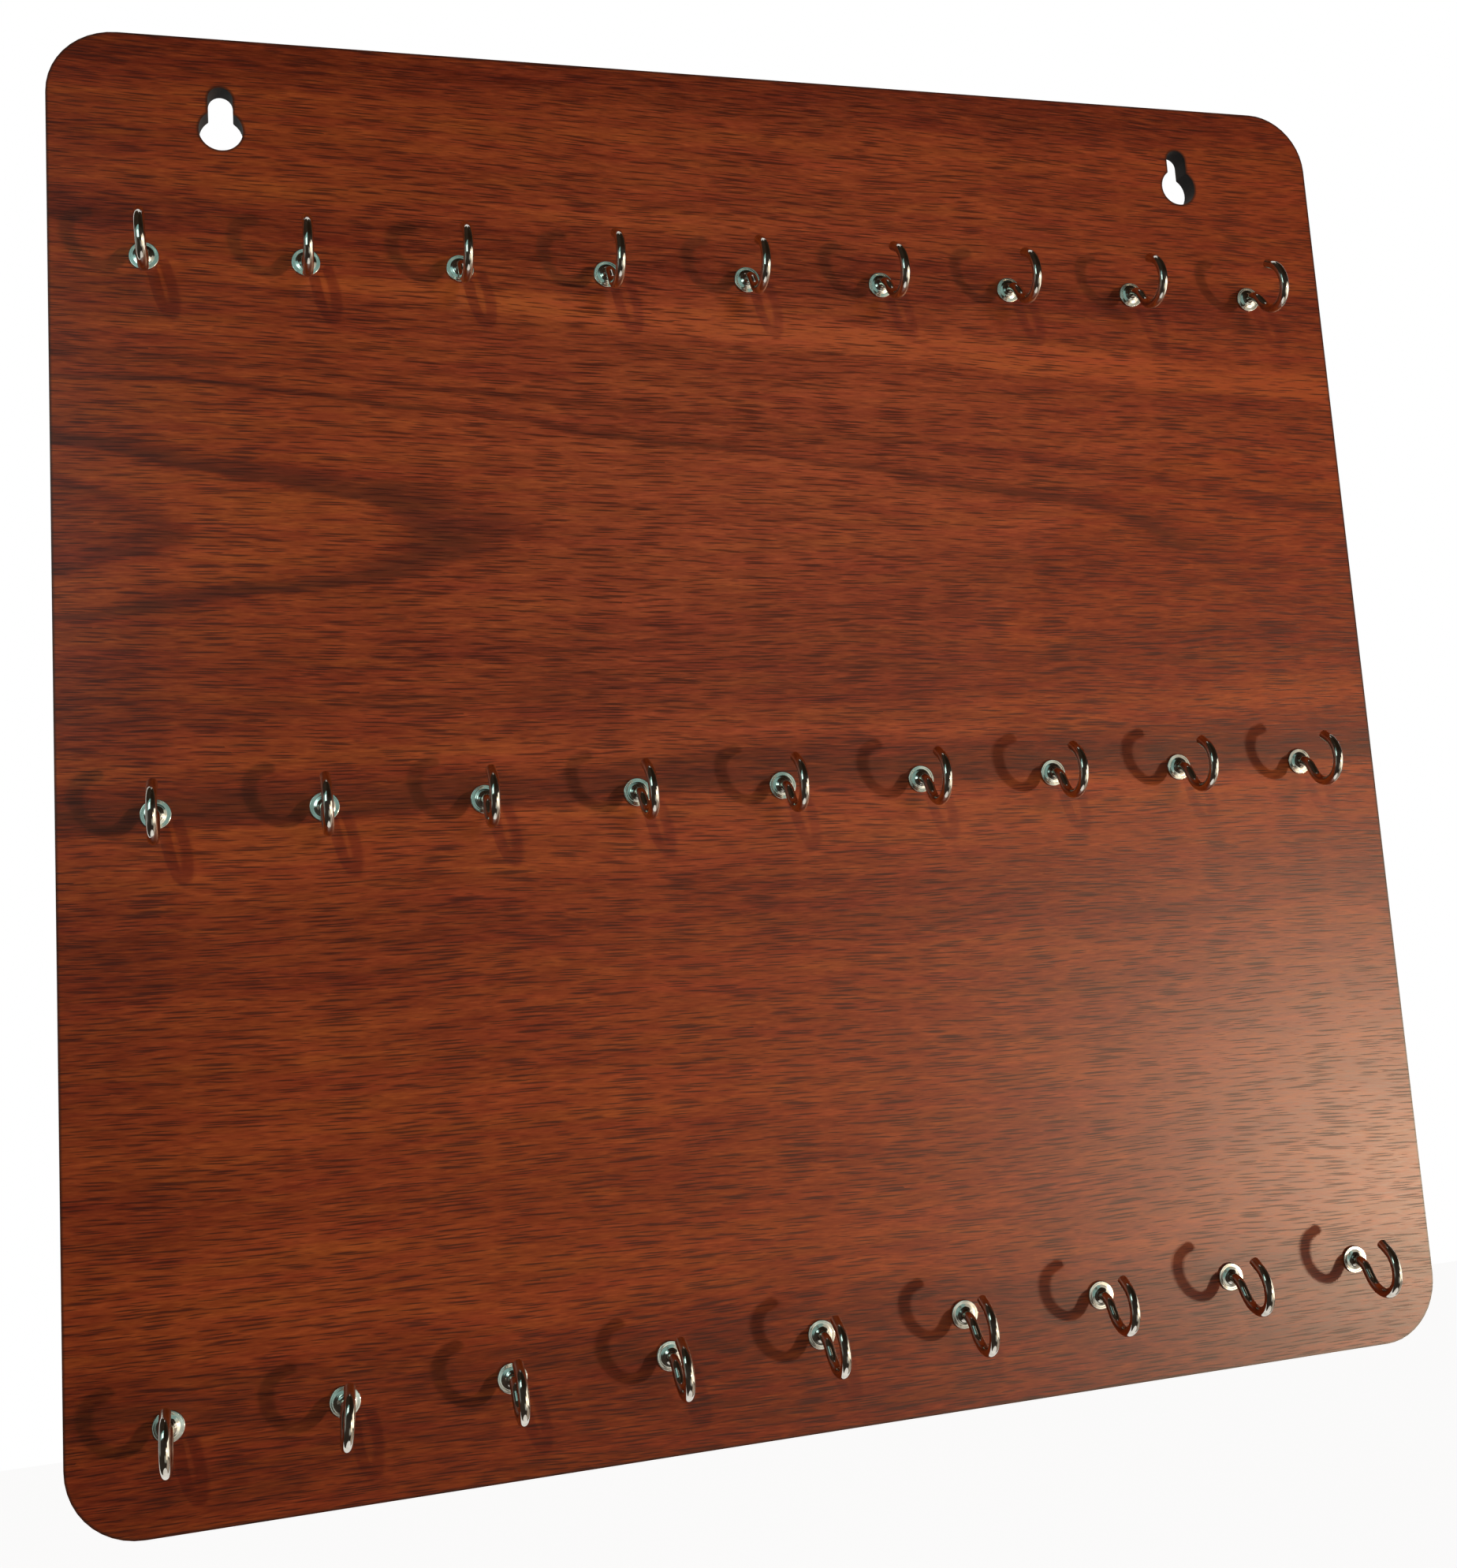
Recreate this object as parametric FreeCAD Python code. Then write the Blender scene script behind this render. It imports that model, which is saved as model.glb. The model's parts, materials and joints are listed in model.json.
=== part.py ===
import FreeCAD, Part
import os
from math import cos, radians, sin
from FreeCAD import Vector

# A square wall board with rows of small cup hooks and a pair of keyhole slots to hang it by.
# Frame: +Z is up and the hooks stick out along -Y. The origin is the middle of the back face,
# which lies on the wall. All lengths are millimetres.

# ---- the board ----------------------------------------------------------------------------
board_width = 305.0
board_height = 305.0
corner_radius = 14.5
core_thickness = 4.0
laminate_thickness = 0.8

# ---- the keyholes it hangs by -------------------------------------------------------------
keyhole_spacing = 232.5        # from one keyhole to the other
keyhole_top_margin = 20.8      # from the top edge down to the middle of the round part
keyhole_round_diameter = 9.2   # lets a wall screw's head through
keyhole_slot_width = 5.2       # the wall screw's shank hangs in this
keyhole_rise = 7.1             # from the middle of the round part up to where the shank rests
keyhole_shoulder_radius = 0.5

# ---- where the hooks are ------------------------------------------------------------------
row_count = 3
column_count = 9
side_margin = 20.0
bottom_margin = 20.0
top_margin = 50.0
pattern_shift = -1.0           # hooks and keyholes were drilled this far off the middle

# ---- one hook: a wire bent in one plane, from its shank to its tip ------------------------
wire_diameter = 2.2
neck_radius = 3.9              # bends are measured at the middle of the wire
neck_angle = 56.0
neck_run = 1.9
bowl_radius = 5.3
bowl_angle = 205.0
tip_run = 2.4
tip_rounding = 0.25
point_length = 2.0
point_diameter = 0.5
# Hooks that were not turned quite upright: how many degrees the tip leans to the right,
# by (row, column), counted from the top left.
hook_lean = {
    (1, 1): -3.0, (1, 6): -6.0, (1, 7): -5.0, (1, 8): -4.0, (1, 9): -9.0,
    (2, 2): -2.0, (2, 4): -4.0, (2, 5): -2.0,
    (3, 2): 5.0, (3, 3): -3.0, (3, 4): -4.0, (3, 5): -3.0, (3, 6): -3.0, (3, 8): -3.0,
}

# ---- the collar pressed from sheet that covers each hook's hole ---------------------------
collar_diameter = 6.1
collar_height = 1.05
collar_rim_thickness = 0.55
collar_rim_width = 0.4
collar_rim_rounding = 0.15
collar_rim_step = 0.12         # from the rim down to the flare's foot
collar_sheet = 0.4
flare_fullness = 0.22          # how much of the flare's rise is reached half way in

# ---- clearances ---------------------------------------------------------------------------
hole_clearance = 0.05          # all round the wire, in the board and in the collar
wood_behind_point = 0.4        # left between the end of a hook's hole and the back face
point_clearance = 0.2          # between the shank's point and the end of its hole
bend_clearance = 0.45          # straight wire between the collar and the neck bend

board_thickness = core_thickness + laminate_thickness
row_pitch = (board_height - top_margin - bottom_margin) / (row_count - 1)
column_pitch = (board_width - 2 * side_margin) / (column_count - 1)
wire_radius = wire_diameter / 2
hole_radius = wire_radius + hole_clearance
hole_depth = board_thickness - wood_behind_point
OUTWARD = Vector(0, -1, 0)
INWARD = Vector(0, 1, 0)
UP = Vector(0, 0, 1)
MATCH = 0.01                   # how near an edge lies to the place where it is looked for


def hook_seats():
    """Where each hook's axis meets the front face, by (row, column), counted from the top left."""
    seats = {}
    for row in range(1, row_count + 1):
        for column in range(1, column_count + 1):
            x = -board_width / 2 + side_margin + (column - 1) * column_pitch + pattern_shift
            z = board_height / 2 - top_margin - (row - 1) * row_pitch
            seats[row, column] = Vector(x, -board_thickness, z)
    return seats


def round_cutter(radius, x, z):
    """A cylinder along Y that reaches past both faces of the board."""
    return Part.makeCylinder(radius, 3 * board_thickness, Vector(x, -2 * board_thickness, z), INWARD)


def keyhole_cutter(x):
    """A round hole with a narrower slot that rises from it to a round end, cut along Y."""
    z_round = board_height / 2 - keyhole_top_margin
    z_rest = z_round + keyhole_rise
    slot_corner = Vector(x - keyhole_slot_width / 2, -2 * board_thickness, z_round)
    slot = Part.makeBox(keyhole_slot_width, 3 * board_thickness, keyhole_rise, slot_corner)
    slot_end = round_cutter(keyhole_slot_width / 2, x, z_rest)
    cutter = round_cutter(keyhole_round_diameter / 2, x, z_round).fuse([slot, slot_end]).removeSplitter()
    shoulders = []
    for edge in cutter.Edges:
        box = edge.BoundBox
        runs_through = box.YLength > board_thickness
        at_slot_side = abs(abs(box.Center.x - x) - keyhole_slot_width / 2) < MATCH
        if runs_through and at_slot_side and z_round < box.Center.z < z_rest - MATCH:
            shoulders.append(edge)
    return cutter.makeFillet(keyhole_shoulder_radius, shoulders)


def board_layer(y_back, thickness):
    """One layer of the board, with both keyholes and what it holds of each blind hole for a shank."""
    corner = Vector(-board_width / 2, y_back - thickness, -board_height / 2)
    layer = Part.makeBox(board_width, thickness, board_height, corner)
    corner_edges = [edge for edge in layer.Edges if edge.BoundBox.YLength > thickness / 2]
    layer = layer.makeFillet(corner_radius, corner_edges)
    cutters = []
    for side in (-1, 1):
        cutters.append(keyhole_cutter(side * keyhole_spacing / 2 + pattern_shift))
    for seat in hook_seats().values():
        hole_end = Vector(seat.x, -wood_behind_point, seat.z)
        cutters.append(Part.makeCylinder(hole_radius, 2 * board_thickness, hole_end, OUTWARD))
    return layer.cut(cutters)


def bent_wire():
    """The hook in its own plane, X = 0: the shank's axis is the Y axis and the face is at Y = 0.

    The wire is laid leg by leg. Its heading is in degrees above straight out."""
    spot = Vector(0, 0, 0)
    heading = 0.0
    legs = []

    def along(angle):
        return OUTWARD * cos(radians(angle)) + UP * sin(radians(angle))

    def run(length):
        nonlocal spot
        legs.append(Part.makeCylinder(wire_radius, length, spot, along(heading)))
        spot = spot + along(heading) * length

    def bend(radius, turn):
        """Bends the wire up, or down where turn is negative."""
        nonlocal spot, heading
        side = 1 if turn > 0 else -1
        centre = spot + along(heading + 90 * side) * radius
        section = Part.Face(Part.Wire([Part.makeCircle(wire_radius, spot, along(heading))]))
        legs.append(section.revolve(centre, Vector(-side, 0, 0), abs(turn)))
        heading += turn
        spot = centre - along(heading + 90 * side) * radius

    run(collar_height + bend_clearance)
    bend(neck_radius, -neck_angle)
    run(neck_run)
    bend(bowl_radius, bowl_angle)
    run(tip_run)
    tip = spot

    shank_length = hole_depth - point_clearance
    plain_length = shank_length - point_length
    plain = Part.makeCylinder(wire_radius, plain_length, Vector(0, plain_length, 0), OUTWARD)
    point = Part.makeCone(point_diameter / 2, wire_radius, point_length, Vector(0, shank_length, 0), OUTWARD)
    wire = point.fuse([plain] + legs).removeSplitter()
    tip_edges = [edge for edge in wire.Edges if (edge.CenterOfMass - tip).Length < wire_radius / 2]
    return wire.makeFillet(tip_rounding, tip_edges)


def collar():
    """The flared collar, turned about the hook's axis: a rim, then a flare up to the wire, open beneath."""
    inner = hole_radius
    outer = collar_diameter / 2
    flare_foot = outer - collar_rim_width
    under_foot = flare_foot - collar_sheet
    rim_top = collar_rim_thickness
    foot_top = rim_top - collar_rim_step
    under_top = collar_height - collar_sheet

    def at(radius, height):
        return Vector(radius, -height, 0)

    def flare(foot, foot_height, top_height):
        """A hollow arc from the flare's foot up to the hole."""
        middle = at((inner + foot) / 2, foot_height + (top_height - foot_height) * flare_fullness)
        return Part.Arc(at(foot, foot_height), middle, at(inner, top_height)).toShape()

    def line(start, end):
        return Part.LineSegment(start, end).toShape()

    section = Part.Wire([
        line(at(under_foot, 0), at(outer, 0)),
        line(at(outer, 0), at(outer, rim_top)),
        line(at(outer, rim_top), at(flare_foot, rim_top)),
        line(at(flare_foot, rim_top), at(flare_foot, foot_top)),
        flare(flare_foot, foot_top, collar_height),
        line(at(inner, collar_height), at(inner, under_top)),
        flare(under_foot, 0, under_top),
    ])
    ring = Part.Face(section).revolve(Vector(0, 0, 0), INWARD, 360)
    rim_edges = []
    for edge in ring.Edges:
        box = edge.BoundBox
        if abs(box.XMax - outer) < MATCH and abs(box.YMin + rim_top) < MATCH and box.YLength < MATCH:
            rim_edges.append(edge)
    return ring.makeFillet(collar_rim_rounding, rim_edges)


def placed(shape, seat, lean):
    """A copy of a hook's piece at its seat, turned about its shank."""
    piece = shape.copy()
    piece.rotate(Vector(0, 0, 0), INWARD, lean)
    piece.translate(seat)
    return piece


def build():
    parts = {
        "board_core": board_layer(0.0, core_thickness),
        "front_laminate": board_layer(-core_thickness, laminate_thickness),
    }
    hook = bent_wire()
    cover = collar()
    for (row, column), seat in hook_seats().items():
        place = f"r{row}_c{column}"
        parts[f"hook_{place}"] = placed(hook, seat, hook_lean.get((row, column), 0.0))
        parts[f"collar_{place}"] = placed(cover, seat, 0.0)
    return parts


os.makedirs("parts", exist_ok=True)
for name, shape in build().items():
    print(name, shape.ShapeType, len(shape.Solids), shape.isValid(), round(shape.Volume, 2))
    shape.exportStep(f"parts/{name}.step")
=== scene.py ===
import bpy
import json
from math import cos, pi, radians, sin
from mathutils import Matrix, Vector


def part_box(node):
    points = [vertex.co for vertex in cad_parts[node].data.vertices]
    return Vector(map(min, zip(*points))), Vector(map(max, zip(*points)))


# A square wall board with three rows of small cup hooks. The front is a red-brown wood print under a
# satin lacquer, the cut edges are burnt black by the laser, the back is bare fibreboard, and the hooks
# and their collars are bright nickel. All the pieces are the CAD's own; this script gives them their
# finishes, the lamps and the camera. Patterns are worked out in millimetres from Object coordinates.
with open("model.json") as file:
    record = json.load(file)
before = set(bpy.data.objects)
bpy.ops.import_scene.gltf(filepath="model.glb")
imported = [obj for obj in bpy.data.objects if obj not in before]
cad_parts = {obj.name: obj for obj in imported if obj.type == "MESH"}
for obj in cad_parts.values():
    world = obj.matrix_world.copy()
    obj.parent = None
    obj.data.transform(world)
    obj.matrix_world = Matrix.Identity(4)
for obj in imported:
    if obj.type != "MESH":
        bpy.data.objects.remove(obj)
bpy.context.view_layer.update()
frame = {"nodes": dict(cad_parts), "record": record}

MM = 0.001
MOUNTS = {mount["name"]: mount for mount in frame["record"]["mounts"]}


def middle_of(node):
    """The middle of a CAD piece's box, in millimetres."""
    low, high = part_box(node)
    return (low + high) / 2 / MM


# The board and its keyholes, in millimetres.
BOARD_LOW, BOARD_HIGH = (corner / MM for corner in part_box("front_laminate"))
BOARD_WIDTH = BOARD_HIGH.x - BOARD_LOW.x
BOARD_HEIGHT = BOARD_HIGH.z - BOARD_LOW.z
CORNER_RADIUS = 14.5
FIRST_SEAT = middle_of("collar_r1_c1")
COLUMN_PITCH = middle_of("collar_r1_c2").x - FIRST_SEAT.x
ROW_PITCH = FIRST_SEAT.z - middle_of("collar_r2_c1").z
LEFT_KEYHOLE = Vector(MOUNTS["keyhole_left"]["pos_m"]) / MM
RIGHT_KEYHOLE = Vector(MOUNTS["keyhole_right"]["pos_m"]) / MM
PATTERN_MIDDLE = (LEFT_KEYHOLE.x + RIGHT_KEYHOLE.x) / 2
KEYHOLE_REACH = RIGHT_KEYHOLE.x - PATTERN_MIDDLE
KEYHOLE_HEIGHT = RIGHT_KEYHOLE.z
KEYHOLE_RADIUS = 4.6
SLOT_HALF_WIDTH = 2.6
SLOT_RISE = 7.1

# ---- the photograph's view ----------------------------------------------------------------------
PICTURE_SIZE = Vector((1848, 1989))    # pixels
SENSOR = 36.0                          # along the picture's longer side
FOCAL_PIXELS = 2115.2                  # focal length
AXIS_PIXEL = Vector((910.0, 865.2))    # where the lens axis meets the picture
CAMERA_PLACE = (-0.1150, -0.3585, -0.0401)    # metres
CAMERA_TURN = (97.565, 3.745, -15.378)        # degrees

# ---- wood print: how its grain runs, in millimetres from the board's left edge and middle -----------
HEART_HEIGHT = 44.6        # the line that the arches close on, at the left edge
HEART_FALL = 0.028         # how fast that line falls to the right
ARCH_TAPER = 4.07          # how fast the arches close to the right
ARCH_BLUNTNESS = 18.0
RING_REACH = 190.0         # how far from the heart the ring tones below reach
# Tone of the print, from 0 for the darkest growth ring to 1 for the most orange, by distance from the
# heart line in millimetres.
RINGS_ABOVE = (
    (0, 0.5), (7.5, 0.5), (9.5, 0.4), (10.8, 0.3), (11.5, 0.68), (15, 0.68), (17.1, 0.6),
    (17.5, 0.1), (20, 0.28), (21.4, 0.56), (24, 0.6), (30, 0.6), (32, 0.6), (32.5, 0.14),
    (33.8, 0.5), (36, 0.54), (37.2, 0.28), (38.4, 0.5), (41, 0.54), (45, 0.56), (49, 0.46),
    (56, 0.5), (71, 0.5), (79, 0.6), (83, 0.46), (88, 0.5), (93, 0.5), (103, 0.54),
)
# The last stops below, from 164 mm on, darken the print along the board's bottom edge: painted shade
# over the rings.
RINGS_BELOW = (
    (0, 0.5), (8, 0.5), (10.2, 0.3), (11.4, 0.32), (12, 0.66), (15.6, 0.66), (17.6, 0.54),
    (18, 0.12), (19.2, 0.16), (20.2, 0.5), (26, 0.54), (32, 0.38), (36, 0.44), (40, 0.34),
    (44, 0.4), (51, 0.68), (54, 0.36), (58, 0.2), (62, 0.24), (64, 0.72), (74, 0.62), (80, 0.44),
    (92, 0.4), (96, 0.54), (115, 0.52), (125, 0.6), (139, 0.48), (151, 0.6), (164, 0.6),
    (169, 0.34), (173, 0.28), (180, 0.36),
)
# Two bands lie across the arches, about as high as the first row of hooks, and fall to the right.
# Heights are above the board's middle, at the left edge. Widths are half widths, at the two ends of
# the stretch in which the bands widen.
BANDS_WIDEN = (40.0, 170.0)
DARK_BAND_HEIGHT = 113.5
DARK_BAND_FALL = 0.047
DARK_BAND_WIDTHS = (5.0, 7.5)
ORANGE_BAND_HEIGHT = 102.7
ORANGE_BAND_FALL = 0.077
ORANGE_BAND_WIDTHS = (2.4, 4.4)
TOP_SHADE_ZONE = (136.0, 150.0)      # painted shade: the print darkens between these heights, at the board's top edge
# Layers of pores: their spacing along and across the grain in millimetres, the smallest and the largest
# as shares of that spacing, and a shift that keeps the layers from lying over each other.
PORE_LAYERS = (
    (12.0, 0.52, 0.10, 0.36, 0.0),
    (19.0, 0.8, 0.06, 0.29, 37.0),
    (50.0, 2.1, 0.02, 0.13, 71.0),
)
RING_PITCH = 0.6               # between the fine rings that pressing left on the collars


def colour(red, green, blue):
    """A paint colour given from 0 to 255 as a paint program shows it, as Blender's linear colour."""
    def linear(level):
        level = level / 255
        return level / 12.92 if level <= 0.04045 else ((level + 0.055) / 1.055) ** 2.4
    return (linear(red), linear(green), linear(blue), 1.0)


# ---- colours, with their places on a scale from 0 to 1 where there are several ------------------------
WOOD_TONES = (
    (0.0, colour(77, 21, 4)), (0.25, colour(99, 33, 11)), (0.5, colour(117, 45, 16)),
    (0.75, colour(133, 56, 21)), (1.0, colour(150, 67, 27)),
)
LATEWOOD = colour(80, 36, 19)
PORE = colour(50, 10, 4)
SCORCHED = colour(34, 20, 16)
# A tint that wanders between a little greener and a little pinker.
BLUSH_TINTS = ((0.3, (1.0, 1.12, 0.92, 1.0)), (0.7, (1.0, 0.86, 1.08, 1.0)))
CHAR_TONES = ((0.25, colour(14, 10, 9)), (0.55, colour(30, 20, 16)), (0.8, colour(58, 38, 27)))
FIBRE_TONES = ((0.3, colour(126, 92, 62)), (0.5, colour(156, 119, 84)), (0.72, colour(181, 146, 108)))
SMOKE = colour(70, 46, 31)
NICKEL_TONES = (
    (0.3, colour(188, 182, 170)), (0.6, colour(208, 203, 193)), (0.8, colour(220, 216, 207)),
)


# ---- a material as formulas -----------------------------------------------------------------------
class Field:
    """A number that changes over a surface. Sums and products of fields become math nodes."""

    def __init__(self, finish, socket):
        self.finish = finish
        self.socket = socket

    def __add__(self, other):
        return self.finish.math("ADD", self, other)

    def __radd__(self, other):
        return self.finish.math("ADD", other, self)

    def __sub__(self, other):
        return self.finish.math("SUBTRACT", self, other)

    def __rsub__(self, other):
        return self.finish.math("SUBTRACT", other, self)

    def __mul__(self, other):
        return self.finish.math("MULTIPLY", self, other)

    def __rmul__(self, other):
        return self.finish.math("MULTIPLY", other, self)

    def __truediv__(self, other):
        return self.finish.math("DIVIDE", self, other)


class Finish:
    """A material being made, with short ways to add the nodes of its pattern."""

    def __init__(self, name):
        self.material = bpy.data.materials.new(name)
        self.material.use_nodes = True
        self.tree = self.material.node_tree
        self.tree.nodes.clear()
        self.shader = self.node("ShaderNodeBsdfPrincipled")
        output = self.node("ShaderNodeOutputMaterial")
        self.tree.links.new(self.shader.outputs["BSDF"], output.inputs["Surface"])

    def node(self, kind, **settings):
        """A new node of a kind, with its own settings."""
        node = self.tree.nodes.new(kind)
        for name, value in settings.items():
            setattr(node, name, value)
        return node

    def feed(self, socket, value):
        """Links a field to a socket, or sets the socket where the value is plain."""
        if isinstance(value, Field):
            self.tree.links.new(value.socket, socket)
        else:
            socket.default_value = value

    def give(self, **values):
        """Feeds the shader's sockets, by name with _ for a space."""
        for name, value in values.items():
            self.feed(self.shader.inputs[name.replace("_", " ")], value)

    def glow(self, tint):
        """Makes the surface black and without gloss, with a light of its own."""
        self.give(
            Base_Color=(0, 0, 0, 1), Specular_IOR_Level=0.0,
            Emission_Color=tint, Emission_Strength=1.0)

    def math(self, operation, *values):
        """The result of one of Blender's math operations."""
        node = self.node("ShaderNodeMath", operation=operation)
        for socket, value in zip(node.inputs, values):
            self.feed(socket, value)
        return Field(self, node.outputs["Value"])

    def place(self):
        """The point's x, y and z in millimetres."""
        coordinates = self.node("ShaderNodeTexCoord")
        scale = self.node("ShaderNodeVectorMath", operation="SCALE")
        scale.inputs["Scale"].default_value = 1 / MM
        self.tree.links.new(coordinates.outputs["Object"], scale.inputs["Vector"])
        return self.split(scale.outputs["Vector"])

    def split(self, socket):
        """The three parts of a vector or a colour."""
        node = self.node("ShaderNodeSeparateXYZ")
        self.tree.links.new(socket, node.inputs["Vector"])
        return [Field(self, node.outputs[axis]) for axis in "XYZ"]

    def facing(self):
        """The surface's own direction, as x, y and z."""
        return self.split(self.node("ShaderNodeTexCoord").outputs["Normal"])

    def vector(self, x, y, z=0.0):
        """A vector from three fields or numbers."""
        node = self.node("ShaderNodeCombineXYZ")
        for socket, value in zip(node.inputs, (x, y, z)):
            self.feed(socket, value)
        return node.outputs["Vector"]

    def noise(self, x, y, z=0.0, detail=2.0, roughness=0.5, distortion=0.0):
        """Soft noise from 0 to 1 with blotches one unit across."""
        node = self.node("ShaderNodeTexNoise", noise_dimensions="3D")
        self.tree.links.new(self.vector(x, y, z), node.inputs["Vector"])
        settings = {"Scale": 1.0, "Detail": detail, "Roughness": roughness, "Distortion": distortion}
        for name, value in settings.items():
            node.inputs[name].default_value = value
        return Field(self, node.outputs[0])

    def cells(self, x, y):
        """Points scattered about a unit apart: the distance to the nearest, and its chance number."""
        node = self.node("ShaderNodeTexVoronoi", voronoi_dimensions="2D")
        self.tree.links.new(self.vector(x, y), node.inputs["Vector"])
        node.inputs["Scale"].default_value = 1.0
        return Field(self, node.outputs["Distance"]), self.split(node.outputs["Color"])[0]

    def ease(self, value, start, end, low=0.0, high=1.0):
        """Goes smoothly from low to high as the value goes from start to end."""
        node = self.node("ShaderNodeMapRange", interpolation_type="SMOOTHSTEP")
        settings = {"Value": value, "From Min": start, "From Max": end, "To Min": low, "To Max": high}
        for name, setting in settings.items():
            self.feed(node.inputs[name], setting)
        return Field(self, node.outputs["Result"])

    def ramp(self, value, stops):
        """A colour for each value from 0 to 1: stops are (position, colour)."""
        node = self.node("ShaderNodeValToRGB")
        ramp = node.color_ramp
        while len(ramp.elements) < len(stops):
            ramp.elements.new(1.0)
        for element, (position, tint) in zip(ramp.elements, stops):
            element.position = position
            element.color = tint
        self.feed(node.inputs["Fac"], value)
        return Field(self, node.outputs["Color"])

    def mix(self, share, first, second, blend="MIX"):
        """Two colours mixed: the share is how much of the second there is."""
        node = self.node("ShaderNodeMix", data_type="RGBA", blend_type=blend)
        colours = [socket for socket in node.inputs if socket.type == "RGBA"]
        self.feed(node.inputs["Factor"], share)
        self.feed(colours[0], first)
        self.feed(colours[1], second)
        outputs = [socket for socket in node.outputs if socket.type == "RGBA"]
        return Field(self, outputs[0])

    def relief(self, height):
        """Bumps the surface by a height in millimetres."""
        node = self.node("ShaderNodeBump")
        node.inputs["Distance"].default_value = MM
        self.feed(node.inputs["Height"], height)
        self.tree.links.new(node.outputs["Normal"], self.shader.inputs["Normal"])


# ---- finishes ---------------------------------------------------------------------------------------
def length(finish, a, b):
    """The length of the side across from the right angle between a and b."""
    return finish.math("SQRT", a * a + b * b)


def depth_from_outline(finish, x, z):
    """How far a point of the board's face lies from the cut outline or a keyhole, in millimetres."""
    beyond_x = finish.math("ABSOLUTE", x) - (BOARD_WIDTH / 2 - CORNER_RADIUS)
    beyond_z = finish.math("ABSOLUTE", z) - (BOARD_HEIGHT / 2 - CORNER_RADIUS)
    corner_x = finish.math("MAXIMUM", beyond_x, 0.0)
    corner_z = finish.math("MAXIMUM", beyond_z, 0.0)
    corner = length(finish, corner_x, corner_z)
    straight = finish.math("MINIMUM", finish.math("MAXIMUM", beyond_x, beyond_z), 0.0)
    from_outline = CORNER_RADIUS - (corner + straight)
    across = finish.math("ABSOLUTE", x - PATTERN_MIDDLE) - KEYHOLE_REACH
    up = z - KEYHOLE_HEIGHT
    from_round = length(finish, across, up) - KEYHOLE_RADIUS
    up_slot = up - finish.math("MINIMUM", finish.math("MAXIMUM", up, 0.0), SLOT_RISE)
    from_slot = length(finish, across, up_slot) - SLOT_HALF_WIDTH
    from_keyhole = finish.math("MINIMUM", from_round, from_slot)
    return finish.math("MINIMUM", from_outline, from_keyhole)


def burnt_edge(finish, x, y, z):
    """Colour of an edge that a laser has cut: charred, with fine streaks through the thickness."""
    streak = finish.noise((x + z) * 3.0, y * 0.25, 7.0, detail=3.0, roughness=0.6)
    soot = finish.noise(x * 0.12, z * 0.12, y * 0.3, detail=2.0)
    return finish.ramp(streak * 0.7 + soot * 0.3, CHAR_TONES)


def cut_edge(finish):
    """1 on the board's cut edges and 0 on its two faces."""
    _, facing_y, _ = finish.facing()
    return finish.ease(finish.math("ABSOLUTE", facing_y), 0.7, 0.5)


def ring_tone(finish, distance, rings):
    """The print's tone at a distance from the heart line."""
    stops = [(reach / RING_REACH, (tone, tone, tone, 1.0)) for reach, tone in rings]
    return finish.ramp(distance / RING_REACH, stops)


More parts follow.
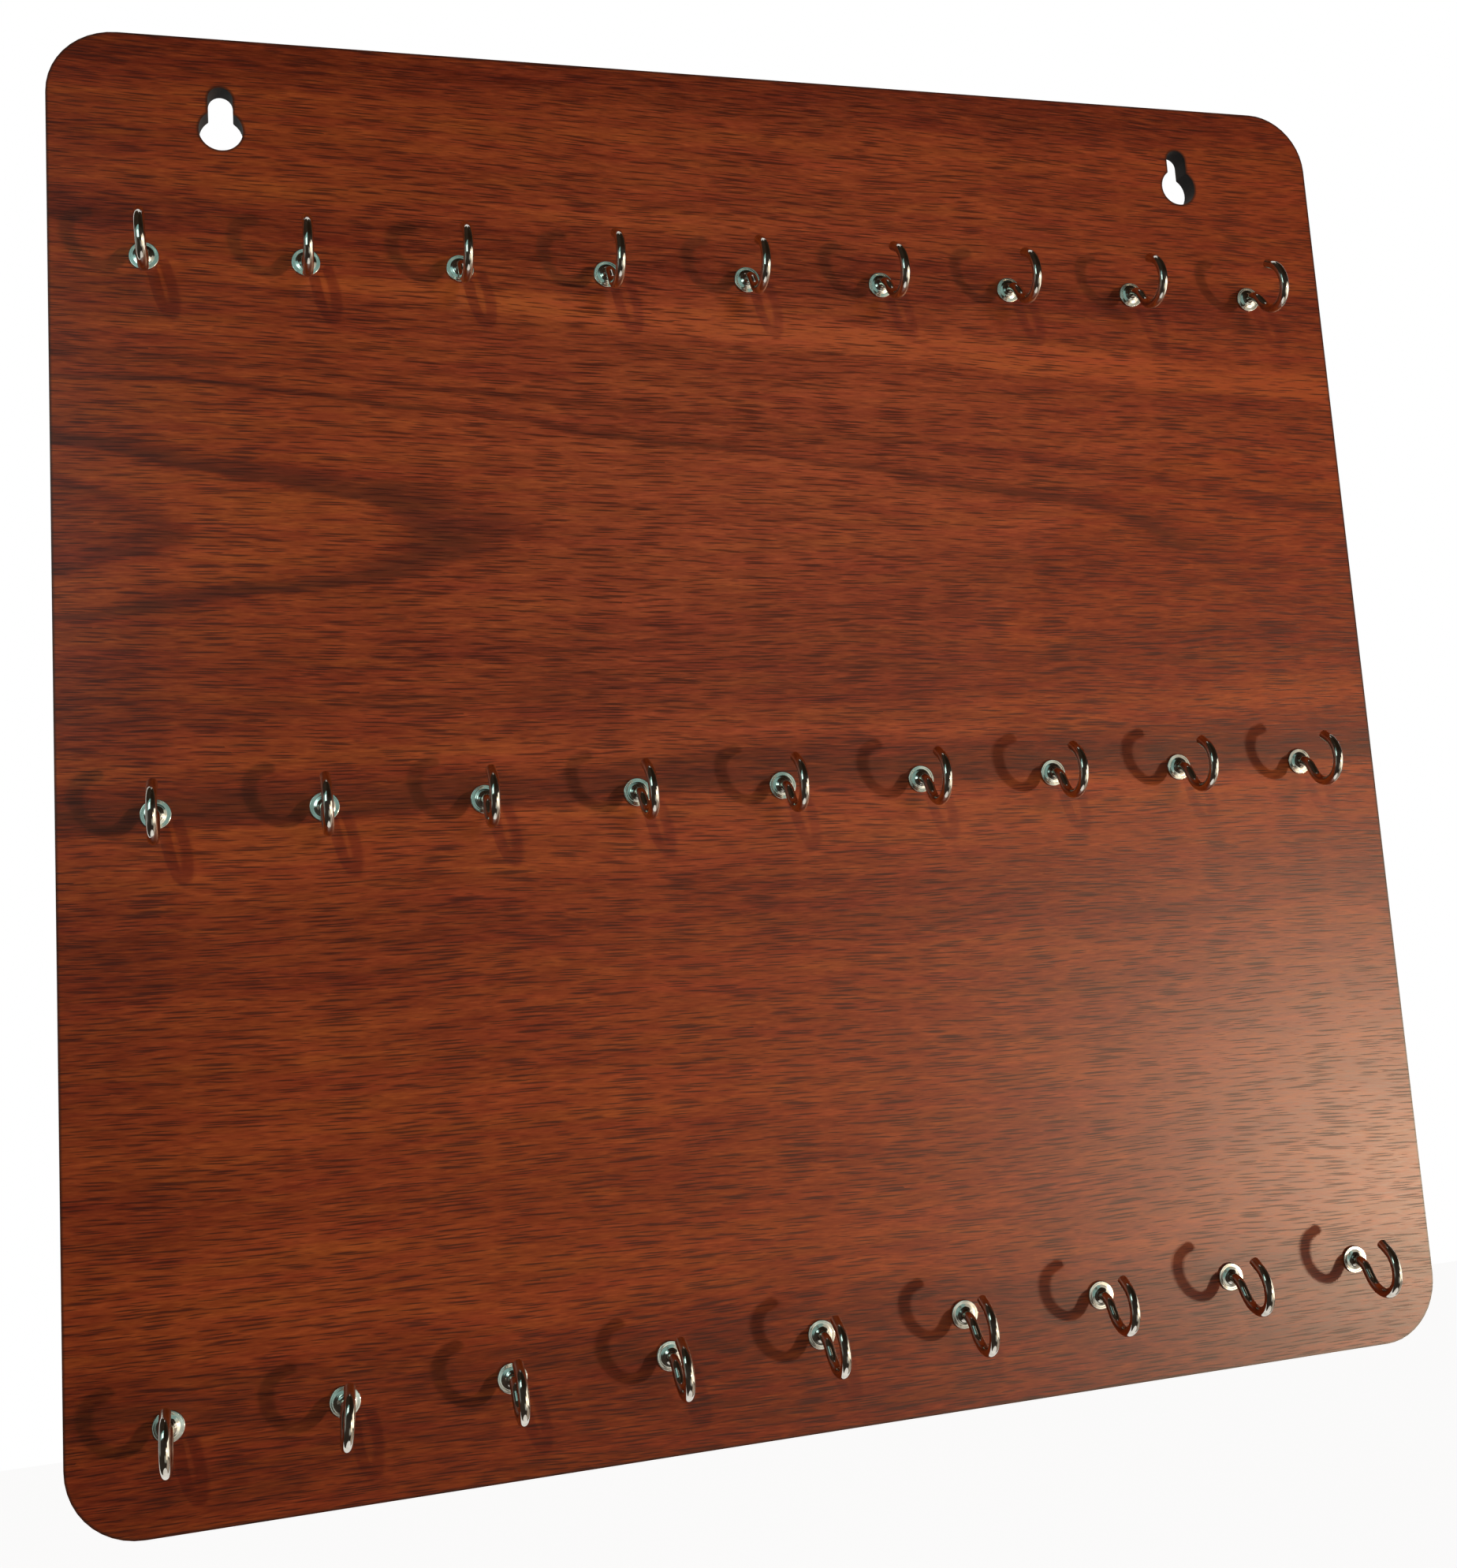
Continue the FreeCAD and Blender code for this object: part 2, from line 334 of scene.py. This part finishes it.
def wood_print():
    """The laminate: growth rings that close in arches, streaks, and short dark pores pressed into it."""
    finish = Finish("wood_print")
    x, y, z = finish.place()
    along = x + BOARD_WIDTH / 2

    # The grain's flow: rings at one distance from the heart line, bent a little by slow noise.
    sway = (finish.noise(x / 60, z / 24, 1.3, detail=2.0) - 0.5) * 8.0
    above_heart = z - HEART_HEIGHT + along * HEART_FALL + sway
    from_heart = finish.math("SQRT", above_heart * above_heart + along * ARCH_TAPER + ARCH_BLUNTNESS)
    feather = (finish.noise(x / 12, z, 5.1, detail=2.0, roughness=0.6) - 0.5) * 0.7
    distance = from_heart + feather
    upper_side = finish.ease(above_heart, -3.0, 3.0)
    tone_below = ring_tone(finish, distance, RINGS_BELOW)
    tone_above = ring_tone(finish, distance, RINGS_ABOVE)
    rings = finish.mix(upper_side, tone_below, tone_above)

    # Streaks along the grain, from broad to hair-fine.
    drift = (finish.noise(x / 80, z / 20, 3.3, detail=1.0) - 0.5) * 4.0
    lane = z + drift + along * HEART_FALL

    def streaks(long, wide, place, roughness):
        """Streaks of a length and width in millimetres, from -0.5 to 0.5."""
        return finish.noise(x / long, lane / wide, place, roughness=roughness) - 0.5

    cloud = streaks(45, 12, 6.6, 0.5)
    broad = streaks(36, 3.2, 2.7, 0.6)
    middle = streaks(11, 1.1, 9.4, 0.6)
    hair = streaks(4, 0.34, 4.2, 0.7)

    # Bands and broad changes of tone, with painted shade at the left and top edges and painted light at
    # the right.
    band_height = z + drift * 0.5
    from_dark = finish.math("ABSOLUTE", band_height + along * DARK_BAND_FALL - DARK_BAND_HEIGHT)
    dark_width = finish.ease(along, *BANDS_WIDEN, *DARK_BAND_WIDTHS)
    dark_band = finish.ease(from_dark / dark_width, 1.1, 0.4, 0.0, 0.24)
    # painted shade that darkens the print along the top edge
    painted_shade_top = finish.ease(z, *TOP_SHADE_ZONE, 0.0, 0.34)
    from_orange = finish.math("ABSOLUTE", band_height + along * ORANGE_BAND_FALL - ORANGE_BAND_HEIGHT)
    orange_width = finish.ease(along, *BANDS_WIDEN, *ORANGE_BAND_WIDTHS)
    orange_glow = finish.ease(along, 0.0, 120.0, 0.2, 0.38)
    orange_band = finish.ease(from_orange / orange_width, 1.25, 0.5) * orange_glow
    # painted shade: the print is darker within about 36 mm of the left edge
    painted_shade_left = finish.ease(along, 36.0, 4.0, 0.0, 0.12)
    # painted light: the print is lighter over the last 75 mm towards the right edge
    painted_light_right = finish.ease(along, 225.0, 300.0, 0.0, 0.06)
    bands_and_painted_shade = orange_band - dark_band - painted_shade_top - painted_shade_left + painted_light_right
    tone = rings * 0.98 + 0.07 + bands_and_painted_shade + cloud * 0.3 + broad * 0.5 + middle * 0.75 + hair * 1.15

    wood = finish.ramp(tone, WOOD_TONES)
    latewood = finish.ease(rings + middle * 0.5, 0.42, 0.14)
    wood = finish.mix(latewood * 0.5, wood, LATEWOOD)
    blush = finish.noise(x / 40, lane / 3.5, 17.0, detail=2.0, roughness=0.6)
    wood = finish.mix(1.0, wood, finish.ramp(blush, BLUSH_TINTS), "MULTIPLY")

    # Pores: short dark dashes lying along the grain.
    crowding = finish.noise(x / 30, lane / 5, 8.8, detail=2.0) - tone * 0.3
    pores = None
    for spacing_x, spacing_z, smallest, largest, shift in PORE_LAYERS:
        nearest, chance = finish.cells((x + shift) / spacing_x, (lane + shift) / spacing_z)
        size = finish.ease(chance + crowding * 0.9, 0.3, 1.2, smallest, largest)
        dash = finish.ease(nearest / size, 1.0, 0.4)
        pores = dash if pores is None else finish.math("MAXIMUM", pores, dash)
    wood = finish.mix(pores * 0.82, wood, PORE)

    # Burnt rims, where the laser has cut.
    inside = depth_from_outline(finish, x, z)
    rim = finish.ease(inside, 0.7, 0.15)
    wood = finish.mix(rim * 0.75, wood, SCORCHED)
    is_edge = cut_edge(finish)
    finish.give(
        Base_Color=finish.mix(is_edge, wood, burnt_edge(finish, x, y, z)),
        Roughness=finish.math("MAXIMUM", 0.35 + pores * 0.06 + hair * 0.08, is_edge * 0.8),
        IOR=1.41,
    )
    finish.relief(pores * -0.003 + hair * 0.003 + middle * 0.002)
    return finish.material


def fibreboard():
    """The board behind the laminate: pressed brown fibre, smoked beside its burnt edges."""
    finish = Finish("fibreboard")
    x, y, z = finish.place()
    fibre = finish.noise(x / 0.5, z / 0.5, y / 0.5, detail=4.0, roughness=0.7, distortion=1.5)
    cloud = finish.noise(x / 30, z / 30, 2.0, detail=3.0)
    board = finish.ramp(fibre * 0.55 + cloud * 0.45, FIBRE_TONES)
    inside = depth_from_outline(finish, x, z)
    smoke_edge = 3.2 + (finish.noise(x / 4, z / 4, 5.0, detail=2.0) - 0.5) * 3.0
    smoke = finish.ease(inside / smoke_edge, 1.0, 0.0)
    board = finish.mix(smoke * 0.7, board, SMOKE)
    is_edge = cut_edge(finish)
    finish.give(
        Base_Color=finish.mix(is_edge, board, burnt_edge(finish, x, y, z)),
        Roughness=0.82 + fibre * 0.1,
    )
    finish.relief(fibre * 0.03)
    return finish.material


def nickel(name, base_roughness):
    """Bright nickel plate with faint waviness. Returns its finish, the waviness and the place."""
    finish = Finish(name)
    x, y, z = finish.place()
    haze = finish.noise(x / 1.6, y / 1.6, z / 1.6, detail=3.0)
    plate = finish.ramp(haze, NICKEL_TONES)
    finish.give(Base_Color=plate, Metallic=1.0, Roughness=base_roughness + haze * 0.06)
    return finish, haze, (x, y, z)


def hook_nickel():
    """The hooks' nickel, with fine marks that run along the board's depth and height."""
    finish, haze, (x, y, z) = nickel("hook_nickel", 0.06)
    marks = finish.noise(x / 0.12, y / 0.9, z / 0.9, detail=2.0)
    finish.relief(haze * 0.008 + marks * 0.0006)
    return finish.material


def collar_nickel():
    """The collars' nickel, with the rings that pressing and turning leave round each hook."""
    finish, haze, (x, _, z) = nickel("collar_nickel", 0.13)
    half_column = COLUMN_PITCH / 2
    half_row = ROW_PITCH / 2
    from_seat_x = finish.math("WRAP", x - FIRST_SEAT.x, half_column, -half_column)
    from_seat_z = finish.math("WRAP", z - FIRST_SEAT.z, half_row, -half_row)
    radius = length(finish, from_seat_x, from_seat_z)
    rings = finish.math("SINE", radius * (2 * pi / RING_PITCH))
    finish.relief(rings * 0.009 + haze * 0.008)
    return finish.material


def finish_pieces():
    """Gives every CAD piece its material."""
    finishes = {
        "front_laminate": wood_print(), "board_core": fibreboard(),
        "hook": hook_nickel(), "collar": collar_nickel(),
    }
    for name, piece in frame["nodes"].items():
        kind = name if name in finishes else name.split("_")[0]
        piece.data.materials.clear()
        piece.data.materials.append(finishes[kind])


# ---- stage ------------------------------------------------------------------------------------------
AMBIENT = (0.08, 0.07, 0.065)
FLOOR_HEIGHT = -3.4
FLOOR_SIZE = 24.0
FLOOR_PAINT = (0.5, 0.5, 0.5, 1)
FLOOR_SHINE = 0.92         # what the floor adds of its own to be pale to the camera
ROOM_RADIUS = 3.2
ROOM_AZIMUTH = 118         # how far round the room's screen reaches each way, in degrees
ROOM_ELEVATIONS = (-66, 86)
# The room by height: elevation in degrees and colour, in a renderer's own linear numbers.
ROOM_BY_HEIGHT = (
    (-90, (0.05, 0.04, 0.034)), (-50, (0.035, 0.027, 0.022)), (-25, (0.045, 0.035, 0.028)),
    (8, (0.035, 0.030, 0.026)), (30, (0.035, 0.025, 0.018)), (90, (0.035, 0.024, 0.017)),
)
# Patches of light and dark on that screen: azimuths, elevations, how soft the outline is, and colour.
ROOM_PATCHES = (
    ((-118, -70), (-20, 18), 5.0, (0.22, 0.23, 0.22)),      # grey, far left
    ((-12, 70), (22, 78), 8.0, (0.020, 0.013, 0.008)),      # dark brown, high on the right
    ((0, 50), (-46, -25), 4.0, (0.42, 0.42, 0.38)),         # pale grey, low in front
    ((52, 112), (-64, -30), 4.0, (0.50, 0.42, 0.35)),       # beige, low on the right
    ((54, 100), (-26, 8), 2.0, (2.10, 1.95, 1.70)),         # bright, above the beige
    ((28, 60), (-36, -3), 3.0, (1.5, 1.35, 1.1)),           # bright, round the key lamp
    ((36, 48), (-21, -7), 1.5, (3.0, 2.5, 1.9)),            # brightest, where the key lamp stands
)
# Cards that stand beside the camera: from left to right, how far out from the board, from low to high,
# all in metres, and colour.
REFLECTOR_CARDS = (
    ("blue_card", (-0.80, -0.17), 0.26, (0.03, 0.24), (0.34, 0.64, 0.65)),
    ("window_card", (-0.40, -0.22), 0.25, (0.03, 0.15), (2.3, 3.2, 3.1)),
)
# Panels that the collars alone reflect: azimuth, elevation, diameter in metres, how bright, and tint.
PANEL_DISTANCE = 2.4
COLLAR_PANELS = (
    ("pale_blue_panel", 0.0, 10.0, 2.6, 1.4, (0.54, 1.0, 0.98)),
    ("pale_panel", 39.0, 7.0, 1.4, 1.9, (1.0, 0.98, 0.85)),
    ("low_panel", 16.0, -27.0, 1.8, 2.1, (1.0, 1.0, 0.93)),
)


def around(azimuth, elevation, distance):
    """A place seen from the board's middle: azimuth is to the right of straight out, both in degrees."""
    a = radians(azimuth)
    e = radians(elevation)
    return Vector((sin(a) * cos(e), -cos(a) * cos(e), sin(e))) * distance


def stage_object(name, points, faces, material):
    """A mesh that stands round the board and isn't part of it."""
    mesh = bpy.data.meshes.new(name)
    mesh.from_pydata(points, [], faces)
    mesh.materials.append(material)
    thing = bpy.data.objects.new(name, mesh)
    bpy.context.scene.collection.objects.link(thing)
    return thing


def only_in_reflections(thing):
    """Hides a stage object from all but gloss and metal."""
    thing.visible_camera = False
    thing.visible_diffuse = False
    thing.visible_shadow = False
    thing.visible_transmission = False
    thing.visible_volume_scatter = False


def room_paint():
    """The room by direction from the board: a base by height, with soft-edged patches over it."""
    finish = Finish("reflected_room")
    x, y, z = finish.place()
    azimuth = finish.math("ARCTAN2", x, y * -1.0) / radians(1)
    elevation = finish.math("ARCTAN2", z, length(finish, x, y)) / radians(1)
    stops = [((height + 90) / 180, (*tint, 1.0)) for height, tint in ROOM_BY_HEIGHT]
    room = finish.ramp((elevation + 90.0) / 180.0, stops)

    def within(angle, limits, soft):
        low, high = limits
        return finish.ease(angle, low - soft, low + soft) * finish.ease(angle, high + soft, high - soft)

    for azimuths, elevations, soft, tint in ROOM_PATCHES:
        share = within(azimuth, azimuths, soft) * within(elevation, elevations, soft)
        room = finish.mix(share, room, (*tint, 1.0))
    finish.glow(room)
    return finish.material


def reflected_room():
    """A part of a sphere round the board's front that shows only in its gloss and metal: dim, and
    bright low on the right."""
    rows, columns = 24, 32
    points = []
    for row in range(rows + 1):
        elevation = ROOM_ELEVATIONS[0] + (ROOM_ELEVATIONS[1] - ROOM_ELEVATIONS[0]) * row / rows
        for column in range(columns + 1):
            azimuth = ROOM_AZIMUTH * (2 * column / columns - 1)
            points.append(around(azimuth, elevation, ROOM_RADIUS))
    across = columns + 1
    faces = []
    for row in range(rows):
        for column in range(columns):
            first = row * across + column
            faces.append((first, first + 1, first + across + 1, first + across))
    only_in_reflections(stage_object("reflected_room", points, faces, room_paint()))


def reflector_cards():
    """Two cards beside the camera, pale blue and white, that show only in metal and gloss."""
    for name, (left, right), distance, (low, high), tint in REFLECTOR_CARDS:
        finish = Finish(name)
        finish.glow((*tint, 1.0))
        corners = ((left, low), (right, low), (right, high), (left, high))
        points = [(x, -distance, z) for x, z in corners]
        only_in_reflections(stage_object(name, points, [(0, 1, 2, 3)], finish.material))


def add_lamp(name, data, place, aim, tint):
    """Puts a lamp at a place and turns it to its aim."""
    data.color = tint
    lamp = bpy.data.objects.new(name, data)
    lamp.location = place
    lamp.rotation_euler = (Vector(aim) - place).to_track_quat("-Z", "Y").to_euler()
    bpy.context.scene.collection.objects.link(lamp)
    return lamp


def round_lamp(name, azimuth, elevation, distance, size, light, tint, in_reflections=False):
    """A round lamp facing the board. light is what it lays on a sheet facing it, where pi is full."""
    data = bpy.data.lights.new(name, "AREA")
    data.shape = "DISK"
    data.size = size
    data.energy = light * pi * distance ** 2
    lamp = add_lamp(name, data, around(azimuth, elevation, distance), (0, 0, 0), tint)
    lamp.visible_glossy = in_reflections
    return lamp


def spot_lamp(name, azimuth, elevation, distance, size, reach, aim, light, tint):
    """A lamp whose beam fades out at a distance from its aim. It lays no highlight on gloss."""
    data = bpy.data.lights.new(name, "SPOT")
    data.shadow_soft_size = size / 2
    data.spot_size = 2 * (reach / distance)
    data.spot_blend = 1.0
    data.energy = light * 4 * pi * distance ** 2
    lamp = add_lamp(name, data, around(azimuth, elevation, distance), aim, tint)
    lamp.visible_glossy = False


def seen_directly(tree):
    """1 for a ray that the camera, gloss or glass sends, and 0 for light on its way to paint."""
    path = tree.nodes.new("ShaderNodeLightPath")
    seen = path.outputs["Is Camera Ray"]
    for kind in ("Is Glossy Ray", "Is Transmission Ray"):
        either = tree.nodes.new("ShaderNodeMath")
        either.operation = "MAXIMUM"
        tree.links.new(seen, either.inputs[0])
        tree.links.new(path.outputs[kind], either.inputs[1])
        seen = either.outputs["Value"]
    return seen


def white_world(ambient):
    """White to the camera and in reflections, and a plain even light on the object."""
    world = bpy.data.worlds.new("white_world")
    bpy.context.scene.world = world
    world.use_nodes = True
    tree = world.node_tree
    tree.nodes.clear()
    lit = tree.nodes.new("ShaderNodeBackground")
    lit.inputs["Color"].default_value = (*ambient, 1)
    white = tree.nodes.new("ShaderNodeBackground")
    white.inputs["Color"].default_value = (1, 1, 1, 1)
    choice = tree.nodes.new("ShaderNodeMixShader")
    tree.links.new(seen_directly(tree), choice.inputs["Fac"])
    tree.links.new(lit.outputs["Background"], choice.inputs[1])
    tree.links.new(white.outputs["Background"], choice.inputs[2])
    output = tree.nodes.new("ShaderNodeOutputWorld")
    tree.links.new(choice.outputs["Shader"], output.inputs["Surface"])


def pale_floor():
    """A pale floor far below the board: white to the camera, apart from the board's shadow."""
    material = bpy.data.materials.new("pale_floor")
    material.use_nodes = True
    tree = material.node_tree
    tree.nodes.clear()
    paint = tree.nodes.new("ShaderNodeBsdfDiffuse")
    paint.inputs["Color"].default_value = FLOOR_PAINT
    shine = tree.nodes.new("ShaderNodeEmission")
    strength = tree.nodes.new("ShaderNodeMath")
    strength.operation = "MULTIPLY"
    strength.inputs[1].default_value = FLOOR_SHINE
    tree.links.new(seen_directly(tree), strength.inputs[0])
    tree.links.new(strength.outputs["Value"], shine.inputs["Strength"])
    both = tree.nodes.new("ShaderNodeAddShader")
    tree.links.new(paint.outputs["BSDF"], both.inputs[0])
    tree.links.new(shine.outputs["Emission"], both.inputs[1])
    output = tree.nodes.new("ShaderNodeOutputMaterial")
    tree.links.new(both.outputs["Shader"], output.inputs["Surface"])
    half = FLOOR_SIZE / 2
    corners = ((-half, -half), (half, -half), (half, half), (-half, half))
    points = [(x, y, FLOOR_HEIGHT) for x, y in corners]
    stage_object("pale_floor", points, [(0, 1, 2, 3)], material)


def collar_panels():
    """Pale panels that the collars alone reflect: pale blue in front, and nearly white low down and on
    the right."""
    collars = bpy.data.collections.new("collars")
    for name, piece in frame["nodes"].items():
        if name.startswith("collar"):
            collars.objects.link(piece)
    for name, azimuth, elevation, size, glow, tint in COLLAR_PANELS:
        light = glow * (size / 2 / PANEL_DISTANCE) ** 2
        panel = round_lamp(
            name, azimuth, elevation, PANEL_DISTANCE, size, light, tint, in_reflections=True)
        panel.light_linking.receiver_collection = collars


def light_stage():
    """Sets the floor, what the metal reflects, and the lamps: a warm key low on the right, a cool lamp
    high on the left, a fill on the right, a soft one in front and one for the back."""
    white_world(AMBIENT)
    pale_floor()
    reflected_room()
    reflector_cards()
    collar_panels()
    # Azimuth, elevation, distance and size come first. A spot's reach and aim come before its light.
    round_lamp("warm_key", 42.0, -12.3, 2.4, 0.10, 1.56, (1.0, 0.76, 0.52), in_reflections=True)
    spot_lamp("left_lamp", -24.5, 30.0, 2.2, 0.10, 0.42, (-0.13, 0, 0.05), 1.55, (0.70, 1.0, 0.8))
    spot_lamp("fill", 20.0, 15.0, 1.2, 0.5, 0.32, (0.12, 0, 0.0), 1.2, (1.0, 0.74, 0.6))
    round_lamp("front_soft", 0.0, 10.0, 2.6, 3.0, 0.26, (1.0, 0.84, 0.7))
    round_lamp("back_soft", 170.0, 25.0, 2.6, 2.4, 2.6, (1.0, 0.98, 0.95))


def camera_as_photographed():
    """The camera that the photograph was taken with, where it stood."""
    data = bpy.data.cameras.new("camera")
    long_side = max(PICTURE_SIZE)
    data.sensor_width = SENSOR
    data.lens = FOCAL_PIXELS * SENSOR / long_side
    data.shift_x = (PICTURE_SIZE.x / 2 - AXIS_PIXEL.x) / long_side
    data.shift_y = (AXIS_PIXEL.y - PICTURE_SIZE.y / 2) / long_side
    camera = bpy.data.objects.new("camera", data)
    camera.location = CAMERA_PLACE
    camera.rotation_euler = [radians(turn) for turn in CAMERA_TURN]
    bpy.context.scene.collection.objects.link(camera)
    bpy.context.scene.camera = camera


finish_pieces()
light_stage()
camera_as_photographed()
bpy.context.scene.view_settings.view_transform = "Standard"
